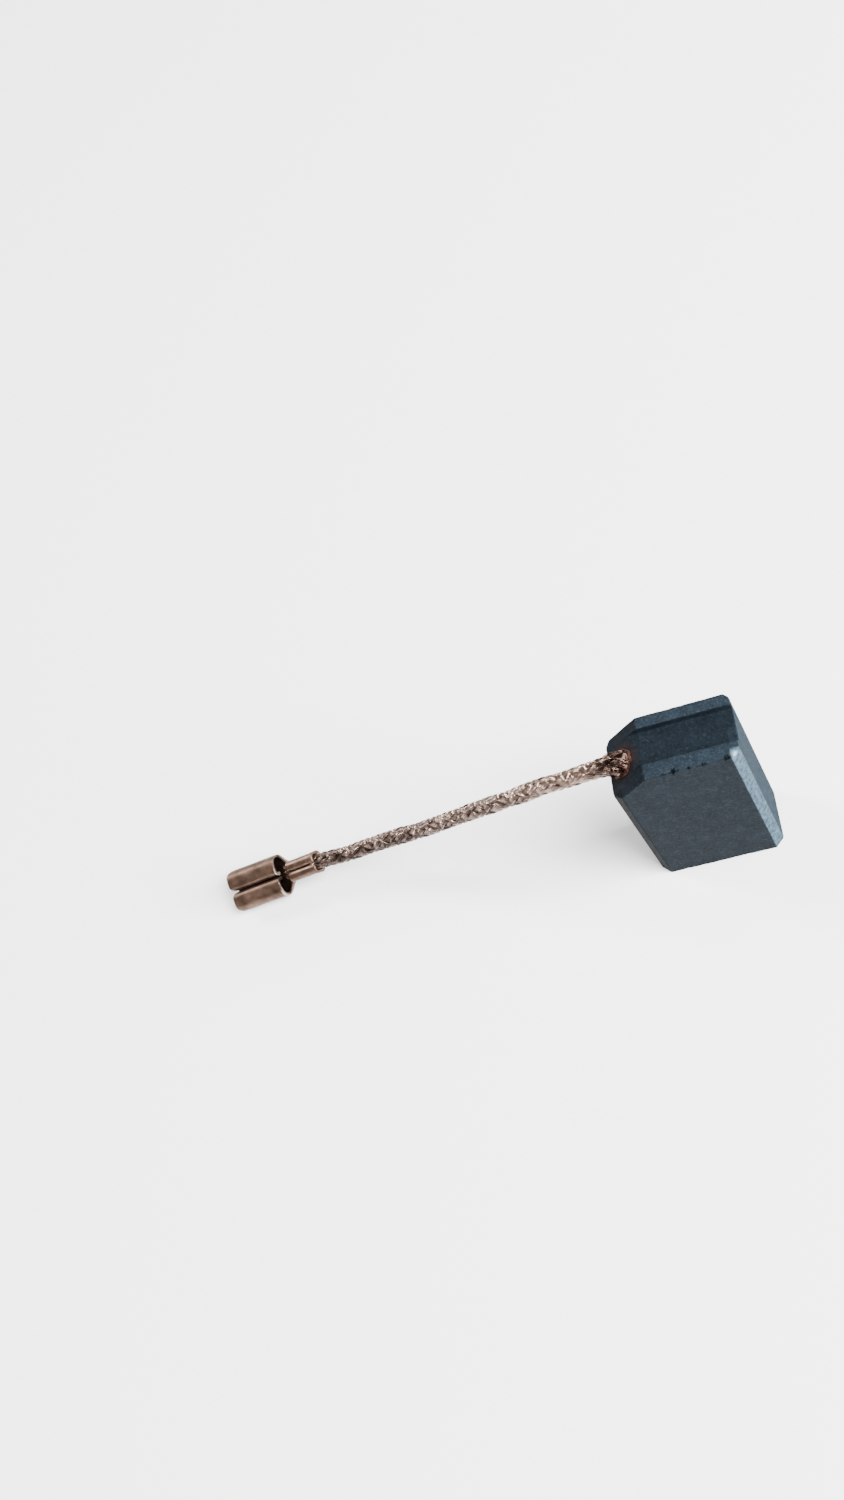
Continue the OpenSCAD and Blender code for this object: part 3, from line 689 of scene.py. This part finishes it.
# ---------------------------------------------------------------- finishes
class Shader:
    """A material's node tree with short ways to add nodes."""

    def __init__(self, name, **fixed):
        self.mat = bpy.data.materials.new(name)
        self.mat.use_nodes = True
        self.tree = self.mat.node_tree
        self.main = self.tree.nodes["Principled BSDF"]
        self.coords = self.tree.nodes.new("ShaderNodeTexCoord").outputs["Object"]
        for key, value in fixed.items():
            self.feed(self.main.inputs[key.replace("_", " ")], value)

    def feed(self, socket, value):
        """Link value into the socket when it is another node's output, else set it; a colour gets its alpha."""
        if isinstance(value, bpy.types.NodeSocket):
            self.tree.links.new(value, socket)
        else:
            socket.default_value = (*value, 1) if socket.type == "RGBA" else value

    def drive(self, key, value):
        """Feed one of the shader's own sockets."""
        self.feed(self.main.inputs[key], value)

    def put(self, kind, settings=None, **inputs):
        """A node of this kind with its settings, its inputs fed by name."""
        node = self.tree.nodes.new(kind)
        for key, value in (settings or {}).items():
            setattr(node, key, value)
        for key, value in inputs.items():
            self.feed(node.inputs[key.replace("_", " ")], value)
        return node

    def mark(self, name):
        """A number that the piece carries at each point."""
        return self.put("ShaderNodeAttribute", {"attribute_name": name}).outputs["Fac"]

    def noise(self, scale, detail=4, roughness=0.6):
        """Noise with the given number of cells to the metre."""
        return self.put(
            "ShaderNodeTexNoise", Vector=self.coords, Scale=scale, Detail=detail, Roughness=roughness).outputs[0]

    def ramp(self, value, *stops):
        """A colour ramp of (place, grey or colour) stops."""
        node = self.put("ShaderNodeValToRGB", Fac=value)
        e = node.color_ramp.elements
        while len(e) < len(stops):
            e.new(0.5)
        for item, (place, colour) in zip(e, stops):
            item.position = place
            item.color = (*((colour,) * 3 if isinstance(colour, (int, float)) else colour), 1)
        return node.outputs["Color"]

    def mix(self, factor, a, b):
        """Colour a turned into colour b by factor."""
        node = self.put("ShaderNodeMix", {"data_type": "RGBA"})
        for place, value in ((0, factor), (6, a), (7, b)):
            self.feed(node.inputs[place], value)
        return node.outputs[2]

    def maths(self, how, a, b):
        """ADD or MULTIPLY of two numbers."""
        node = self.put("ShaderNodeMath", {"operation": how})
        self.feed(node.inputs[0], a)
        self.feed(node.inputs[1], b)
        return node.outputs[0]

    def bump(self, height, distance, strength):
        """Bump of the shader's normal."""
        node = self.put("ShaderNodeBump", Height=height, Distance=distance, Strength=strength)
        self.drive("Normal", node.outputs["Normal"])


def carbon_finish():
    """Pressed carbon: near black with a blue cast, mottled in clouds and pale flecks, with painted light on the top and
    painted shade in the channel, on the slope and by the left chamfer, a painted sheen on the far side and its chamfer,
    a painted highlight at the nick, and dusted with copper by the root."""
    m = Shader("pressed carbon", Specular_IOR_Level=0.02)
    base = m.ramp(
        m.noise(900, 6, 0.75),
        (0.30, (0.0054, 0.0080, 0.0110)), (0.52, (0.0074, 0.0111, 0.0152)), (0.74, (0.0112, 0.0165, 0.0222)))
    flecks = m.noise(4300, 5, 0.75)
    spots = m.ramp(flecks, (0.52, 0.0), (0.72, 1.0))
    base = m.mix(m.maths("MULTIPLY", spots, 0.42), base, (0.034, 0.049, 0.063))
    pits = m.ramp(m.noise(5600, 2, 0.5), (0.32, 1.0), (0.44, 0.0))
    base = m.mix(m.maths("MULTIPLY", pits, 0.6), base, (0.0035, 0.0045, 0.0055))
    # painted light and shade per face scale the carbon's colour
    scaled = m.put("ShaderNodeVectorMath", {"operation": "SCALE"}, Scale=m.mark("painted_light_and_chips"))
    m.feed(scaled.inputs[0], base)

    # painted sheen on the far side and its chamfer, mixed into the colour
    sheen_mark = m.mark("painted_sheen")
    sheen_tone = m.ramp(m.noise(2600, 4, 0.75), (0.34, (0.010, 0.019, 0.028)), (0.66, (0.060, 0.094, 0.121)))
    base = m.mix(sheen_mark, scaled.outputs["Vector"], sheen_tone)
    m.drive("Roughness", m.ramp(sheen_mark, (0.02, 0.6), (0.12, 0.92), (0.20, 0.92), (0.50, 0.6)))
    # painted highlight at the nicked corner
    base = m.mix(m.mark("nick_highlight"), base, (0.18, 0.25, 0.30))

    place = m.put("ShaderNodeVectorMath", {"operation": "DISTANCE"})
    m.feed(place.inputs[0], m.coords)
    m.feed(place.inputs[1], tuple(ROOT * MM))
    from_root = m.maths("MULTIPLY", place.outputs["Value"], 1000.0)
    ragged = m.maths("ADD", from_root, m.maths("MULTIPLY", m.noise(1500, 5, 0.7), 1.4))
    dust = m.ramp(m.maths("MULTIPLY", ragged, 0.25), (0.42, 1.0), (0.62, 0.0))
    m.drive("Base Color", m.mix(m.maths("MULTIPLY", dust, 0.8), base, (0.014, 0.0066, 0.0050)))
    grain = m.maths("MULTIPLY", m.noise(9000, 3, 0.6), 0.5)
    m.bump(m.maths("ADD", m.maths("MULTIPLY", flecks, 0.7), grain), 0.00004, 0.8)
    return m.mat


def copper_finish():
    """Bare copper, dulled unevenly; wires take their own tone from tint, which holds painted light and shade, and dark
    dust with painted shade lies on them by the root.
    """
    m = Shader("bare copper strands", Metallic=1.0)
    tone = m.maths("ADD", m.maths("MULTIPLY", m.mark("tint"), 0.55), m.maths("MULTIPLY", m.noise(1100, 5), 0.55))
    # dust and painted shade at the root
    patchy = m.maths("MULTIPLY", m.mark("dust_and_shade"), m.ramp(m.noise(2300, 4, 0.65), (0.36, 0.75), (0.60, 1.0)))
    metal = m.ramp(tone, (0.30, (0.020, 0.0118, 0.0088)), (0.80, (0.62, 0.445, 0.365)))
    m.drive("Base Color", m.mix(patchy, metal, (0.034, 0.0165, 0.0125)))
    m.drive("Roughness", m.ramp(tone, (0.38, 0.35), (0.62, 0.16)))
    return m.mat


def powder_finish():
    """Tamped copper powder: dull dark grains, with a few bright ones."""
    m = Shader("tamped powder", Metallic=0.5, Roughness=0.6, Specular_IOR_Level=0.2)
    grains = m.noise(5200, 3)
    m.drive("Base Color", m.ramp(grains, (0.40, (0.012, 0.005, 0.004)), (0.62, (0.075, 0.030, 0.020))))
    m.bump(grains, 0.00008, 0.9)
    return m.mat


def strip_finish():
    """Bare bronze strip: warm brown, half bright, with dull patches, with painted shade inside the rolled wings and a
    painted highlight on the wings' edges by the neck.
    """
    m = Shader("bronze strip", Metallic=1.0)
    metal = m.ramp(m.noise(700, 5, 0.62), (0.32, (0.062, 0.037, 0.026)), (0.66, (0.150, 0.094, 0.069)))
    # painted highlight on the wings' edges by the neck
    metal = m.mix(m.mark("rim"), metal, (0.62, 0.50, 0.43))
    # painted shade inside the rolled wings
    m.drive("Base Color", m.mix(m.maths("MULTIPLY", m.mark("inside"), 0.9), metal, (0.006, 0.003, 0.002)))
    m.drive("Roughness", m.ramp(m.noise(1500), (0.3, 0.56), (0.7, 0.38)))
    m.bump(m.noise(2600, 3), 0.00002, 0.6)
    return m.mat


def table_finish():
    """Plain pale table."""
    return Shader("pale table", Roughness=0.9, Base_Color=(0.93, 0.93, 0.93)).mat


brick.data.materials.append(carbon_finish())
plug.data.materials.append(powder_finish())
braid_metal = copper_finish()
lead.data.materials.append(braid_metal)
strands.data.materials.append(braid_metal)
terminal.data.materials.append(strip_finish())

# ---------------------------------------------------------------- table and light
TABLE_HALF = 2000  # millimetres
WORLD_STRENGTH = 0.35
table_corners = [(x * TABLE_HALF, y * TABLE_HALF, 0) for x, y in ((-1, -1), (1, -1), (1, 1), (-1, 1))]
table = make("table", table_corners, [(0, 1, 2, 3)], smooth=False)
table.data.materials.append(table_finish())


def softbox(name, place, target, size, watts, colour=(1, 1, 1)):
    """A rectangular area light at place that faces target."""
    light = bpy.data.lights.new(name, "AREA")
    light.shape = "RECTANGLE"
    light.size, light.size_y = size
    light.energy = watts
    light.color = colour
    obj = bpy.data.objects.new(name, light)
    bpy.context.scene.collection.objects.link(obj)
    aim = (Vector(target) - Vector(place)).to_track_quat("-Z", "Y")
    obj.matrix_world = Matrix.Translation(place) @ aim.to_matrix().to_4x4()


softbox("key softbox", (0.33, -0.15, 0.48), (-0.01, 0, 0), (0.35, 0.35), 17.0, (1.0, 0.99, 0.98))
softbox("glint softbox", (-0.445, 0.261, 0.29), (-0.010, 0, 0.0135), (0.13, 0.10), 4.6)
softbox("side softbox", (0.56, -0.12, 0.18), (0, 0, 0.005), (0.35, 0.25), 15.5, (0.97, 0.99, 1.0))
world = bpy.data.worlds.new("studio")
world.use_nodes = True
world.node_tree.nodes["Background"].inputs["Color"].default_value = (1, 1, 1, 1)
world.node_tree.nodes["Background"].inputs["Strength"].default_value = WORLD_STRENGTH
bpy.context.scene.world = world
